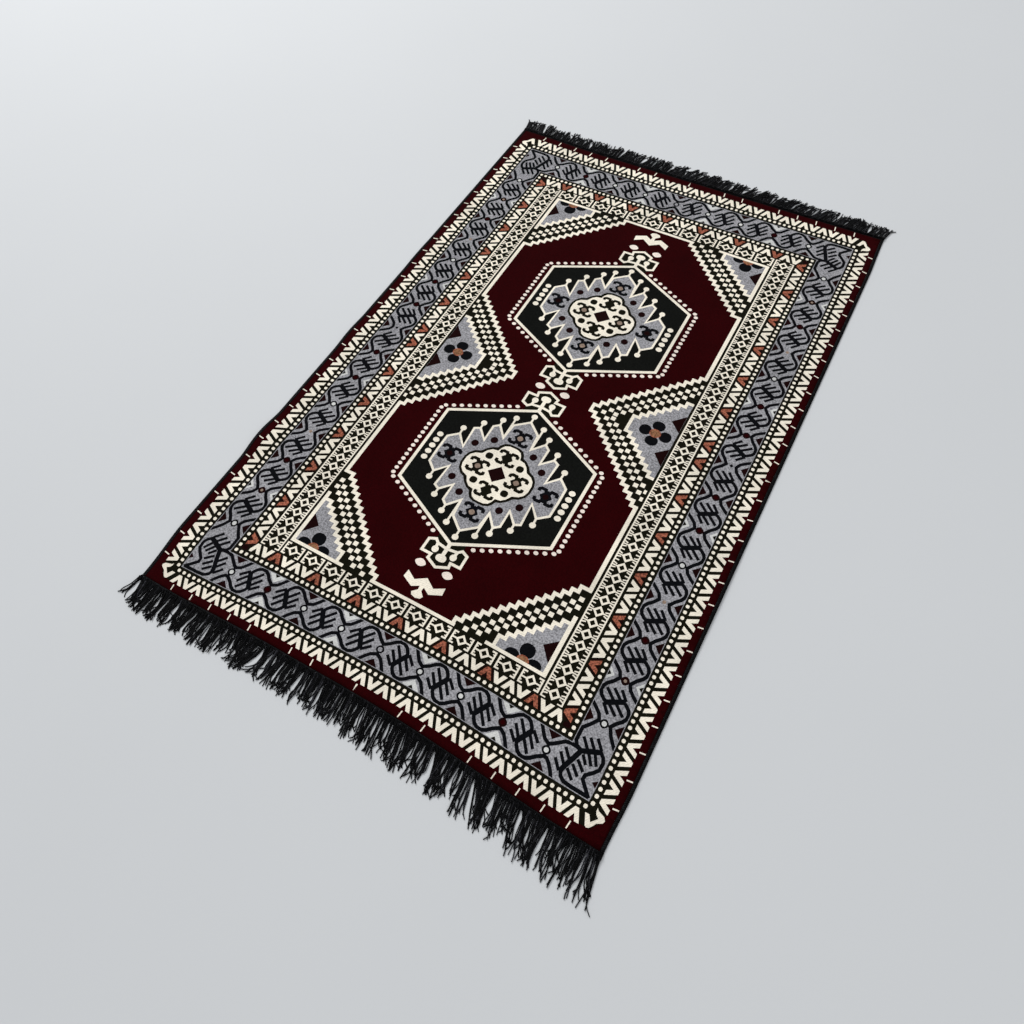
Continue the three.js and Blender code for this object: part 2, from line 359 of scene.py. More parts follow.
def lay_links(chart, place, pitch, links):
    """What stands where the repeats meet: a ringed heart, and a half diamond on each side of the band.

    Each of links is the ring's yarn or None, the heart's yarn and radius, and how wide a half is if white.
    """
    for k, (ring, heart, radius, bright) in enumerate(links):
        u = k * pitch
        for edge, way in ((0.0, 1.0), (2 * LINK_MIDDLE, -1.0)):
            if bright:
                tip = edge + way * bright * 0.93
                chart.lay(PALE, [place(u - bright, edge), place(u, tip), place(u + bright, edge)])
                chart.lay(OLIVE_BLACK, [place(u - 8, edge), place(u, edge + way * 8.5), place(u + 8, edge)])
            else:
                chart.lay(WINE, [place(u - 17, edge), place(u, edge + way * 17), place(u + 17, edge)])
        x, y = place(u, LINK_MIDDLE)
        if ring is not None:
            chart.lay(ring, knot(x, y, 10.0, squareness=1.25, sides=16))
        chart.lay(heart, knot(x, y, radius, sides=12))


def lay_grey_band(chart):
    """The grey band between the dots: repeats along each side, its corner, and its thin light edges."""
    low_x, high_x = GREY_ACROSS
    low_y, high_y = GREY_ALONG

    def beside(u, v):
        return (low_x + v, u)

    def across_end(u, v):
        return (u, low_y + v)

    chart.lay(GREY, [
        (low_x, -20), (high_x, -20), (high_x, high_y), (-20, high_y), (-20, low_y), (low_x, low_y),
    ])
    lay_repeats(chart, beside, 99.0, 7)
    lay_repeats(chart, across_end, 103.0, 4)
    lay_grey_corner(chart)
    lay_links(chart, beside, 99.0, (
        (None, BLUE_BLACK, 4.0, 0), (WINE, BURGUNDY, 4.5, 0), (WINE, BURGUNDY, 4.5, 17),
        (BLUE_BLACK, PALE, 5.4, 0), (None, TAN, 4.4, 0), (WINE, BURGUNDY, 4.5, 0),
        (WINE, TAN, 3.6, 17), (BLUE_BLACK, PALE, 5.4, 0),
    ))
    lay_links(chart, across_end, 103.0, (
        (BLUE_BLACK, GREY, 5.2, 0), (BLUE_BLACK, PALE, 5.2, 23), (BLUE_BLACK, PALE, 5.2, 0),
        (WINE, BURGUNDY, 4.8, 23), (BLUE_BLACK, PALE, 5.2, 0),
    ))
    edge = 1.4
    chart.lay(GREY, block(low_x, -20, low_x + edge, low_y), block(high_x - edge, -20, high_x, high_y))
    chart.lay(GREY, block(-20, low_y, low_x + edge, low_y + edge), block(-20, high_y - edge, high_x, high_y))


def lay_grey_corner(chart):
    """The corner of the grey band: two spines with teeth on both sides, and a wall that ends in a point."""
    walls = (
        [(477.4, 692), (466, 708), (455.5, 720), (455.5, 748), (461, 757), (475, 761.5)],
        [(504, 692), (513, 708), (522, 719), (532, 729.5)],
        [(411, 783), (418, 778.5), (428, 770.5), (439, 761.5), (450, 759), (463, 759.5), (476, 762)],
        [(411, 808), (420, 808.5), (428, 815), (438, 826), (446, 838)],
        [(454.5, 813), (460, 823.5), (470, 829.3), (487, 830.6), (527, 830.6)],
        [(527.5, 832.5), (512, 818), (500.8, 807.5), (501.5, 798.5), (514, 786.5), (521.8, 777), (522.8, 762),
         (518, 752.5), (510, 746)],
    )
    for path in walls:
        chart.lay(BLUE_BLACK, stroke(path, 8.0))
    for path in ([(474, 761), (466, 783), (457, 805), (454.5, 816)], [(513, 744.5), (474, 762)]):
        chart.lay(BLUE_BLACK, stroke(path, 10.8))
    for start, end in (
        ((466, 735), (484, 754)), ((479, 730), (497, 749)), ((492.5, 724.5), (510, 743)),
        ((501, 754), (513.5, 774.5)), ((490, 760), (504, 779)), ((480, 766), (493.5, 782)),
        ((443.5, 770.5), (463, 791)), ((438.5, 783), (458, 805)), ((434, 798.5), (452, 817)),
        ((475, 779.5), (495, 796)), ((470, 792), (489.5, 809)), ((464, 804), (483, 820)),
    ):
        chart.lay(BLUE_BLACK, stroke([start, end], 6.8))
    chart.lay(WINE, [(531.4, 794.5), (519.5, 803.5), (531.4, 812.5)])


def lay_frame(chart):
    """The cream line round the field, open where the stepped triangles run out through it."""
    across, along = FRAME_ACROSS, FRAME_ALONG
    chart.lay(CREAM, block(across - 5.0, 211, across + 5.0, 455))
    chart.lay(CREAM, block(across - 5.0, 519, across + 5.0, along + 4))
    chart.lay(CREAM, block(-5, along - 4, 113, along + 4))
    chart.lay(CREAM, block(191, along - 4, across + 5.0, along + 4))


def stairs(start, step, count, first_along):
    """The corner points of a flight of steps. first_along is True where it starts along the rug."""
    points = [np.array(start, float)]
    for _ in range(count):
        for along in (first_along, not first_along):
            move = (0, step[1]) if along else (step[0], 0)
            points.append(points[-1] + move)
    return points


STEP_ACROSS, STEP_ALONG, STAIR_WIDTH = 14.85, 14.3, 8.8


def check(x, y):
    """One light square of the checked bands."""
    return block(x - 5.9, y - 5.6, x + 5.9, y + 5.6)


def lay_flower(chart, x, y, petals):
    """Round dark petals about an amber heart."""
    for across, along, half_x, half_y in petals:
        chart.lay(BLUE_BLACK, knot(x + across, y + along, half_x, half_y, squareness=0.9, sides=16))
    chart.lay(RUST, knot(x, y, 15.0, 13.0, sides=14))
    chart.lay(AMBER, knot(x, y, 12.5, 10.5, sides=14))


def lay_corner_triangle(chart):
    """The stepped triangle in the field's corner: checked band, grey inside, half a flower."""
    outer = [np.array((341.0, 451.0))] + stairs((315, 451), (-STEP_ACROSS, STEP_ALONG), 14, True)
    outer.append(np.array((outer[-1][0], 668.0)))
    inner = [np.array((340.0, 540.0))] + stairs((316.5, 540), (-15.1, 14.1), 7, True)
    inner.append(np.array((inner[-1][0], 667.0)))
    chart.lay(OLIVE_BLACK, outer + [np.array((outer[-1][0], 671.5)), np.array((342.0, 671.5)), np.array((342.0, 451.0))])
    chart.lay(GREY, inner + [np.array((337.0, 667.0))])
    chart.lay(WINE, [(333, 584), (304, 609.5), (333, 642)])
    lay_flower(chart, 281.5, 663, ((0, -25, 17.5, 17), (-27, 0, 17.5, 16), (27, 0, 17.5, 16)))
    for k in range(14):
        chart.lay(CREAM, check(329.5 - 14.65 * k, 478.3 + 14.2 * k))
    for k in range(12):
        chart.lay(CREAM, check(330.5 - 14.65 * k, 498.5 + 14.3 * k))
    chart.lay(CREAM, stroke(outer, STAIR_WIDTH), stroke(inner, STAIR_WIDTH - 0.5))


def lay_side_triangle(chart):
    """The stepped triangle at the middle of each long side, with a whole flower."""
    outer = [np.array((116.2, -11.0))] + stairs((116.2, 10.8), (STEP_ACROSS, 14.44), 14, False)
    outer.append(np.array((341.0, outer[-1][1])))
    inner = [np.array((220.9, -20.0))] + stairs((220.9, 25), (14.87, 13.97), 7, False)
    inner.append(np.array((342.0, inner[-1][1])))
    chart.lay(OLIVE_BLACK, outer + [np.array((342.5, 213.0)), np.array((342.5, -11.0))])
    chart.lay(GREY, inner + [np.array((341.5, -20.0))])
    chart.lay(WINE, [(341.5, 27), (312, 53), (341.5, 83)])
    lay_flower(chart, 290.5, 0, ((0, 24, 16.5, 14.5), (27, 0, 15.5, 15.5), (-27, 0, 15.5, 15.5)))
    for k in range(14):
        chart.lay(CREAM, check(148.4 + 14.75 * k, 14.35 * k))
    for k in range(12):
        chart.lay(CREAM, check(178.7 + 14.75 * k, 7.2 + 14.3 * k))
    chart.lay(CREAM, stroke(outer, STAIR_WIDTH), stroke(inner, STAIR_WIDTH - 0.5))


def scroll(dark, heart, size=1.0):
    """A scroll motif about its middle: a diamond with a hooked arm from each of its four sides."""
    hook = np.array([(3, 7), (7.5, 17.6), (18.5, 18), (23, 15), (23, 8.5)])
    arms = [(dark, stroke(hook * (across, along), 8.6) * size) for across in (-1, 1) for along in (-1, 1)]
    middle = [(dark, lozenge(0, 0, 16.5, 19) * size), (heart, knot(0, 0, 8.0, 7.6, squareness=1.3) * size)]
    return arms + middle


# The medallion's star, its pins and the rosette's outline in the quarter, in mm from the medallion's middle
STAR = [
    (0, 174), (35, 146), (39.5, 101), (66, 131), (79.5, 120), (79.2, 73.5), (106, 100.5),
    (120, 93.5), (116.6, 32), (144.2, 62), (169, 41.5), (170, 0),
]
PINS = [
    ((0, 174), (0, 193)), ((39.5, 101), (39.5, 169)), ((66, 131), (66.7, 148)),
    ((106, 100.5), (106, 118)), ((144.2, 62), (145, 81)),
]
ROSETTE = [
    (0, 92), (14, 91.5), (26, 87), (33, 79), (37, 69.5), (48, 65.5), (60, 55.5), (70, 42.5), (83, 37),
    (94, 25), (98.5, 11), (99, 0),
]
ROSETTE_INSIDE = [
    (0, 86), (12, 85.5), (22, 81), (28, 72), (31, 62), (45, 59.5), (55, 51), (63.5, 37), (79, 31),
    (88.5, 21.5), (92.5, 9), (92.5, 0),
]


def lay_medallion(chart):
    """The hexagon medallion: its line and dots, the spiked grey star and the lobed rosette in it."""
    centre = np.array((0.0, MEDALLION_MIDDLE))

    def put(yarn, *outlines):
        chart.lay(yarn, *[np.asarray(outline, float) + centre for outline in outlines])

    half, top, shoulder = MEDALLION_HALF_WIDTH, MEDALLION_HALF_HEIGHT, MEDALLION_SHOULDER
    put(CREAM, four_ways([(0, top + 4.4), (half + 4.1, shoulder + 2.4)]))
    put(MEDALLION_BLACK, four_ways([(0, top - 4.4), (half - 4.1, shoulder - 2.4)]))
    for k in range(16):
        put(BLUSH, knot(half + 19.5, (k - 7.5) * 14.8, 5.9, 5.1, sides=10))
    for k in range(10):
        x = 55.5 + 18.7 * k
        for way in (-1, 1):
            put(BLUSH, knot(x, way * (top + 14.8 - x * (top - shoulder) / half), 6.1, 5.1, sides=10))
    for k in range(-2, 3):
        put(CREAM, knot(188, 18.9 * k, 8.6, 7.4, sides=12))
    for (x0, y0), (x1, y1) in PINS:
        for way in (-1, 1):
            put(CREAM, stroke([(x0, way * y0), (x1, way * y1)], 5.4))
            put(CREAM, knot(x1, way * y1, 8.2, 8.0, sides=12))
    put(CREAM, four_ways(grown(STAR, 3.0)))
    put(GREY, four_ways(grown(STAR, -3.0)))
    for x, y in ((56, 84.5), (95, 55)):
        for way in (-1, 1):
            put(WINE, knot(x, way * y, 9.8, 9.8, sides=14))
    put(OLIVE_BLACK, four_ways(ROSETTE))
    put(CREAM, four_ways(ROSETTE_INSIDE))
    put(WINE, lozenge(0, 0, 25, 24.5))
    for way in (-1, 1):
        put(OLIVE_BLACK, knot(43.5, way * 38.8, 9.8, 9.4, squareness=0.8, sides=14))
    for at, dark, heart, size in (
        ((54.5, 0), OLIVE_BLACK, TAN, 1.0), ((0, 51), OLIVE_BLACK, OLIVE_BLACK, 0.98),
        ((0, -51), OLIVE_BLACK, OLIVE_BLACK, 0.98), ((136, 0), BLUE_BLACK, WINE, 1.02),
        ((0, 118), BLUE_BLACK, TAN, 1.02), ((0, -118), BLUE_BLACK, TAN, 1.02),
    ):
        for yarn, shape in scroll(dark, heart, size):
            put(yarn, shape + at)


def grown(points, by):
    """An open outline moved outwards by a distance, square to its line at each point, ends kept on the axes."""
    path = np.array(points, float)
    along = np.diff(path, axis=0)
    along /= np.linalg.norm(along, axis=1)[:, None]
    side = np.stack([-along[:, 1], along[:, 0]], axis=1)
    before = np.vstack([[[-side[0, 0], side[0, 1]]], side])
    after = np.vstack([side, [[side[-1, 0], -side[-1, 1]]]])
    bend = np.maximum(0.35, 1.0 + np.sum(before * after, axis=1))
    moved = path + by * (before + after) / bend[:, None]
    moved[0, 0] = 0.0
    moved[-1, 1] = 0.0
    return moved


# A crown's right half, across and out from the medallion's apex, in mm: its ground and its line
CROWN_GROUND = [(0, 0), (36, -13), (38, 1), (54, 8), (54, 44), (30, 44), (30, 54), (0, 68)]
CROWN = [(4, 14), (26.5, 11), (36, 3), (52, 10), (52.5, 42), (26.5, 42), (28.4, 53.5), (0, 66), (-12, 60.5)]


def lay_crown(chart, base, way):
    """A crown on a medallion's apex: its stem and head, the hooked line round it and two drops."""
    def at(points):
        return [(x, base + way * y) for x, y in points]

    chart.lay(OLIVE_BLACK, both_ways(at(CROWN_GROUND)))
    chart.lay(CREAM, stroke(at(CROWN), 6.8))
    chart.lay(CREAM, stroke(at([(0, -4), (0, 36)]), 9.6))
    chart.lay(CREAM, knot(0, base + way * 41, 13.5, 9.6, squareness=0.85, sides=14))
    chart.lay(CREAM, stroke(at([(26.5, 12), (25, 26)]), 7.5))
    chart.lay(CREAM, knot(24.8, base + way * 27, 8.6, 8.8, sides=12))


BIRD = [
    (0, 600), (25.5, 616.5), (50, 602.5), (52, 621), (23, 634.5), (5.5, 624.5), (4.4, 634),
    (15.5, 645), (11.5, 652), (0, 655),
]


def lay_field(chart):
    """What lies in the field: crowns on the medallions, ovals beside them and a bird at each end."""
    inner_apex = MEDALLION_MIDDLE - MEDALLION_HALF_HEIGHT
    outer_apex = MEDALLION_MIDDLE + MEDALLION_HALF_HEIGHT
    lay_crown(chart, inner_apex, -1)
    lay_crown(chart, outer_apex, 1)
    chart.lay(BLUSH, knot(36, 0, 13.6, 9.4, squareness=1.1, sides=16))
    chart.lay(BLUSH, knot(36.4, outer_apex + 71.5, 14.0, 9.8, squareness=1.25, sides=16))
    chart.lay(CREAM, both_ways(BIRD))


def quarter_chart():
    """The whole pattern of the quarter of the cloth with x and y above zero."""
    chart = Chart()
    lay_outer_bands(chart)
    lay_side_triangle(chart)
    lay_corner_triangle(chart)
    chart.lay(OLIVE_BLACK, block(342, -20, 446, 741), block(-20, 671, 446, 741))
    lay_frame(chart)
    lay_diamond_band(chart)
    lay_bracket_band(chart)
    lay_inner_v_bands(chart)
    lay_dots(chart)
    lay_grey_band(chart)
    lay_field(chart)
    lay_medallion(chart)
    return chart


def rim_points(half_x, half_y, spacing):
    """The quarter cloth's outline as closely spaced points, anticlockwise from the middle."""
    across = np.linspace(0, half_x, round(half_x / spacing) + 1)
    along = np.linspace(0, half_y, round(half_y / spacing) + 1)
    parts = [
        np.stack([across, np.zeros_like(across)], axis=1)[:-1],
        np.stack([np.full_like(along, half_x), along], axis=1)[:-1],
        np.stack([across[::-1], np.full_like(across, half_y)], axis=1)[:-1],
        np.stack([np.zeros_like(along), along[::-1]], axis=1)[:-1],
    ]
    return np.vstack(parts)


def woven_quarter(chart, spacing):
    """Triangles of the quarter cloth with the yarn of each: where areas overlap, the one laid last."""
    rim = rim_points(CLOTH_HALF_WIDTH, CLOTH_HALF_LENGTH, spacing)
    outlines = [rim] + chart.outlines
    xs = np.arange(spacing / 2, CLOTH_HALF_WIDTH - 2, spacing)
    ys = np.arange(spacing / 2, CLOTH_HALF_LENGTH - 2, spacing)
    filling = np.stack(np.meshgrid(xs, ys), axis=-1).reshape(-1, 2)
    counts = [len(outline) for outline in outlines]
    starts = np.concatenate([[0], np.cumsum(counts)])
    points = [Vector(p) for p in np.vstack(outlines + [filling]).tolist()]
    faces = [list(range(a, a + n)) for a, n in zip(starts, counts)]
    found = delaunay_2d_cdt(points, [], faces, 1, 0.01, True)
    places, triangles, sources = found[0], found[2], found[5]
    kept = [k for k, ids in enumerate(sources) if 0 in ids and len(triangles[k]) == 3]
    yarns = [0] + chart.yarns
    corner = np.array([(p.x, p.y) for p in places])
    return corner, np.array([triangles[k] for k in kept]), np.array([yarns[max(sources[k])] for k in kept])


def whole_cloth(corner, triangles, yarns):
    """The four mirrored quarters as one, with the points on their seams shared."""
    corners, faces, colours = [], [], []
    for sx, sy in ((1, 1), (-1, 1), (-1, -1), (1, -1)):
        flipped = triangles if sx * sy > 0 else triangles[:, ::-1]
        faces.append(flipped + len(corner) * len(corners))
        corners.append(corner * (sx, sy))
        colours.append(yarns)
    every = np.vstack(corners)
    keys = np.round(every * 200).astype(np.int64)
    _, first, where = np.unique(keys, axis=0, return_index=True, return_inverse=True)
    joined = where.ravel()[np.vstack(faces)]
    colours = np.concatenate(colours)
    a, b, c = every[first][joined].transpose(1, 0, 2)
    area = (b[:, 0] - a[:, 0]) * (c[:, 1] - a[:, 1]) - (b[:, 1] - a[:, 1]) * (c[:, 0] - a[:, 0])
    distinct = (joined[:, 0] != joined[:, 1]) & (joined[:, 1] != joined[:, 2]) & (joined[:, 2] != joined[:, 0])
    joined[area < 0] = joined[area < 0][:, ::-1]
    return every[first], joined[distinct], colours[distinct]


def open_edges(faces):
    """The directed edges of triangles that no other triangle shares."""
    edges = np.vstack([faces[:, [0, 1]], faces[:, [1, 2]], faces[:, [2, 0]]])
    ordered = np.sort(edges, axis=1)
    _, where, counts = np.unique(ordered, axis=0, return_inverse=True, return_counts=True)
    return edges[counts[where.ravel()] == 1]


def mesh_object(name, points_mm, faces, slots=None, smooth=True):
    """A mesh from points in mm about the cloth's middle, placed in the part's frame in metres."""
    mesh = bpy.data.meshes.new(name)
    placed = (np.asarray(points_mm, float) + SHIFT) / 1000
    mesh.from_pydata(placed.tolist(), [], faces if isinstance(faces, list) else faces.tolist())
    mesh.polygons.foreach_set("use_smooth", np.full(len(mesh.polygons), smooth))
    if slots is not None:
        mesh.polygons.foreach_set("material_index", np.asarray(slots, np.int32))
    mesh.update()
    piece = bpy.data.objects.new(name, mesh)
    bpy.context.scene.collection.objects.link(piece)
    return piece


def set_map(mesh, name, places):
    """Stores a UV map from one (u, v) for each face corner."""
    layer = mesh.uv_layers.new(name=name)
    layer.data.foreach_set("uv", np.asarray(places, np.float32).ravel())


# Materials


def node(tree, kind, links=None, inputs=None, **settings):
    """Adds a node with its properties, its inputs' values and its links, each from a node's output."""
    made = tree.nodes.new(kind)
    for name, value in settings.items():
        setattr(made, name, value)
    for slot, value in (inputs or {}).items():
        made.inputs[slot].default_value = value
    for slot, (source, output) in (links or {}).items():
        tree.links.new(source.outputs[output], made.inputs[slot])
    return made


def start_material(name):
    """A new material and its node tree, emptied."""
    material = bpy.data.materials.new(name)
    material.use_nodes = True
    material.node_tree.nodes.clear()
    return material, material.node_tree


def shade(colour, factor):
    """A linear colour made lighter or darker, with its alpha."""
    return (*(min(1.0, c * factor) for c in colour), 1.0)


def chenille(name, colour, mottle, furrow_shade, relief=0.5):
    """Woven chenille: soft tufted yarn in rows across the rug, its dye a little uneven from tuft to tuft.

    Chenille scatters light softly and has no gloss. mottle is how far its tufts differ, and the next argument
    how dark the shade painted into the slanted furrows between them is. The rows are 1.6 mm apart on the real
    cloth and 2.6 mm here, as finer ones don't show in the picture.
    """
    material, tree = start_material(name)
    place = node(tree, "ShaderNodeTexCoord")
    rows = node(
        tree, "ShaderNodeTexWave", {"Vector": (place, "Object")},
        {"Scale": 0.314 / 0.0026, "Distortion": 1.3, "Detail": 1.0, "Detail Scale": 2.0}, bands_direction="Y",
    )
    lean = node(tree, "ShaderNodeMapping", {"Vector": (place, "Object")}, {"Rotation": (0, 0, math.radians(38))})
    furrow = node(
        tree, "ShaderNodeTexWave", {"Vector": (lean, "Vector")}, {"Scale": 0.314 / 0.0042, "Distortion": 1.6}
    )
    tuft = node(tree, "ShaderNodeTexNoise", {"Vector": (place, "Object")}, {"Scale": 260.0, "Detail": 2.0})
    even = node(
        tree, "ShaderNodeMapRange", {"Value": (tuft, "Fac")}, {"From Min": 0.36, "From Max": 0.64}
    )
    patch = node(tree, "ShaderNodeTexNoise", {"Vector": (place, "Object")}, {"Scale": 11.0, "Detail": 3.0})
    wear = node(
        tree, "ShaderNodeMapRange", {"Value": (patch, "Fac")},
        {"From Min": 0.3, "From Max": 0.7, "To Min": 0.86, "To Max": 1.1},
    )
    dyed = node(
        tree, "ShaderNodeMix", {0: (even, "Result")},
        {6: shade(colour, 1.0 - mottle), 7: shade(colour, 1.0 + 0.5 * mottle)}, data_type="RGBA",
    )
    worn_and_glinting = node(
        tree, "ShaderNodeMix", {6: (dyed, 2), 7: (wear, "Result")}, {0: 1.0}, data_type="RGBA", blend_type="MULTIPLY"
    )
    # Painted shade: the slanted furrows between the tufts are darkened in the colour itself, not by the bump
    lines = node(
        tree, "ShaderNodeMix", {7: (furrow, "Color"), 6: (worn_and_glinting, 2)}, {0: furrow_shade}, data_type="RGBA", blend_type="MULTIPLY"
    )
    height = node(tree, "ShaderNodeMix", {6: (rows, "Color"), 7: (tuft, "Color")}, {0: 0.6}, data_type="RGBA")
    bump = node(tree, "ShaderNodeBump", {"Height": (height, 2)}, {"Strength": relief, "Distance": 0.0014})
    shader = node(
        tree, "ShaderNodeBsdfPrincipled", {"Base Color": (lines, 2), "Normal": (bump, "Normal")},
        {"Roughness": 0.95, "Specular IOR Level": 0.03},
    )
    node(tree, "ShaderNodeOutputMaterial", {"Surface": (shader, "BSDF")})
    return material


def twisted_yarn(name, colour, ply_mm, gloss, paler):
    """Twisted polyester yarn, dyed black: slanted ply ridges with painted highlights on their crests and painted
    shade between them, and painted glints in patches.

    The glint patches, some 7 mm long, are up to paler times the dye's own colour, so the black isn't dead. The
    ridges are ply_mm apart; the piece's own map runs round the yarn and along it in mm.
    """
    material, tree = start_material(name)
    own = node(tree, "ShaderNodeUVMap", uv_map="Yarn")
    slant = node(tree, "ShaderNodeMapping", {"Vector": (own, "UV")}, {"Rotation": (0, 0, math.radians(34))})
    plies = node(
        tree, "ShaderNodeTexWave", {"Vector": (slant, "Vector")}, {"Scale": 0.314 / ply_mm, "Distortion": 0.5},
        bands_direction="Y",
    )
    place = node(tree, "ShaderNodeTexCoord")
    # Painted glints: a noise picks patches of the yarn and makes them paler, up to paler times its colour
    glint_noise = node(tree, "ShaderNodeTexNoise", {"Vector": (place, "Object")}, {"Scale": 120.0, "Detail": 2.0})
    worn_and_glinting = node(
        tree, "ShaderNodeMapRange", {"Value": (glint_noise, "Fac")},
        {"From Min": 0.53, "From Max": 0.7, "To Min": 0.6, "To Max": paler},
    )
    # Painted highlight and shade: the colour runs from half the dye's between the plies to 2.4 times it on their crests
    ridge_light_and_shade = node(
        tree, "ShaderNodeMix", {0: (plies, "Fac")}, {6: shade(colour, 0.5), 7: shade(colour, 2.4)}, data_type="RGBA"
    )
    toned = node(
        tree, "ShaderNodeMix", {6: (ridge_light_and_shade, 2), 7: (worn_and_glinting, "Result")}, {0: 1.0},
        data_type="RGBA", blend_type="MULTIPLY",
    )
    bump = node(tree, "ShaderNodeBump", {"Height": (plies, "Fac")}, {"Strength": 0.7, "Distance": 0.0007})
    shader = node(
        tree, "ShaderNodeBsdfPrincipled", {"Base Color": (toned, 2), "Normal": (bump, "Normal")},
        {"Roughness": 0.42, "Specular IOR Level": gloss},
    )
    node(tree, "ShaderNodeOutputMaterial", {"Surface": (shader, "BSDF")})
    return material


def painted_floor(name, colour):
    """A plain pale floor, matt as eggshell paint, with a very slight unevenness so that it isn't dead flat."""
    material, tree = start_material(name)
    place = node(tree, "ShaderNodeTexCoord")
    cloud = node(tree, "ShaderNodeTexNoise", {"Vector": (place, "Object")}, {"Scale": 1.6})
    toned = node(
        tree, "ShaderNodeMix", {0: (cloud, "Fac")}, {6: shade(colour, 0.97), 7: shade(colour, 1.0)}, data_type="RGBA"
    )
    shader = node(
        tree, "ShaderNodeBsdfPrincipled", {"Base Color": (toned, 2)}, {"Roughness": 0.7, "Specular IOR Level": 0.2}
    )
    node(tree, "ShaderNodeOutputMaterial", {"Surface": (shader, "BSDF")})
    return material


# What a user may change


def yarn_colour(name, description, code):
    """A colour property whose default is an sRGB hex value."""
    return bpy.props.FloatVectorProperty(
        name=name, description=description, subtype="COLOR", size=3, min=0.0, max=1.0, default=linear(code)
    )


class KilimSizes(bpy.types.PropertyGroup):
    """Sizes of the rug's yarns and how finely its pieces are made."""

    thickness: bpy.props.FloatProperty(
        name="Cloth thickness", description="From the floor to the top of the pile",
        default=0.003, min=0.001, max=0.006, subtype="DISTANCE", unit="LENGTH",
    )
    spacing: bpy.props.FloatProperty(
        name="Filling", description="Distance between the cloth's filling points",
        default=0.018, min=0.006, max=0.05, subtype="DISTANCE", unit="LENGTH",
    )
    stitch: bpy.props.FloatProperty(
        name="Stitch", description="Distance from one overcast stitch to the next",
        default=0.0034, min=0.002, max=0.01, subtype="DISTANCE", unit="LENGTH",
    )
    yarn: bpy.props.FloatProperty(
        name="Fringe yarn", description="Thickness of one twisted fringe yarn",
        default=0.0025, min=0.001, max=0.006, subtype="DISTANCE", unit="LENGTH",
    )
    yarns_near: bpy.props.IntProperty(
        name="Near yarns", description="Number of yarns in the near fringe", default=820, min=50, max=1100
    )
    yarns_far: bpy.props.IntProperty(
        name="Far yarns", description="Number of yarns in the far fringe", default=860, min=50, max=1100
    )


class KilimColours(bpy.types.PropertyGroup):
    """Colours of the rug's yarns and of the floor."""

    burgundy: yarn_colour("Burgundy", "The field and outermost border", "#290103")
    olive_black: yarn_colour("Olive black", "Ground of the border bands", "#15140c")
    medallion_black: yarn_colour("Medallion black", "Ground of the hexagons", "#121311")
    cream: yarn_colour("Cream", "Lines, dots and chevrons", "#f8efdc")
    blush: yarn_colour("Blush", "Ovals and dotted rings", "#f7e9dc")
    pale: yarn_colour("Pale grey", "Small triangles and hearts of the comb band", "#cfcfcb")
    grey: yarn_colour("Grey", "Stars and the comb band", "#9a999c")
    rust: yarn_colour("Rust", "Every fourth inner chevron", "#a05e49")
    amber: yarn_colour("Amber", "Hearts of the flowers", "#8f6549")
    tan: yarn_colour("Tan", "Hearts of the scrolls", "#937f70")
    blue_black: yarn_colour("Blue black", "Petals, scrolls and the comb strokes", "#0c0d10")
    wine: yarn_colour("Wine", "Small diamonds and spots", "#1a0707")
    fringe: yarn_colour("Fringe", "Fringe and edging yarn", "#060607")
    floor: yarn_colour("Floor", "The floor under the rug", "#cbcdce")


# Operators


class KILIM_OT_edgings(bpy.types.Operator):
    """Overcast yarn along the two long edges"""

    bl_idname = "kilim.edgings"
    bl_label = "Add Edgings"

    def execute(self, context):
        sizes, colours = context.scene.kilim_sizes, context.scene.kilim_colours
        yarn = twisted_yarn("overcast black polyester yarn", tuple(colours.fringe), 3.4, 0.05, 2.5)
        for name, side in (("edging_left", -1), ("edging_right", 1)):
            edging = overcast_edging(name, side, sizes.stitch * 1000)
            edging.data.materials.append(yarn)
            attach(edging, "root")
            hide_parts("edge_binding_left" if side < 0 else "edge_binding_right")
        return {"FINISHED"}


def overcast_edging(name, side, stitch):
    """A roll of stitches on the cloth's edge, closed at both ends.

    Round it the section is a superellipse on the floor; along it each stitch swells by |sin|^0.7 of its
    own length and slants by a third of a stitch over the top. Towards the cloth its width stays the same,
    so that no floor shows in the seam.
    """
    steps, sides = 4, 12
    count = round(2 * CLOTH_HALF_LENGTH / stitch) * steps
    along = np.linspace(-CLOTH_HALF_LENGTH, CLOTH_HALF_LENGTH, count + 1)
    around = (np.arange(sides) + 0.5) * 2 * math.pi / sides
    base = lie(np.full(count + 1, side * CLOTH_HALF_WIDTH), along)
    s, angle = np.meshgrid(along, around, indexing="ij")
    cos, sin = np.cos(angle), np.sin(angle)
    swell = np.abs(np.sin(math.pi * (s / stitch + 0.33 * cos))) ** 0.7
    half_width = EDGING_WIDTH / 2 * np.where(side * cos < 0, 1.06, 0.84 + 0.16 * swell)
    half_height = 2.3 * (0.68 + 0.32 * swell)
    x = side * (SEAM_GAP + EDGING_WIDTH / 2) + half_width * np.sign(cos) * np.abs(cos) ** 0.8
    z = 2.3 + half_height * np.sign(sin) * np.abs(sin) ** 0.8
    points = np.stack([base[:, None, 0] + x, base[:, None, 1] + 0 * x, base[:, None, 2] + np.maximum(0.0, z)], axis=-1)
    faces, uv = tube_faces(points, around, s)
    piece = mesh_object(name, points.reshape(-1, 3), faces)
    set_map(piece.data, "Yarn", uv)
    outward(piece.data)
    return piece


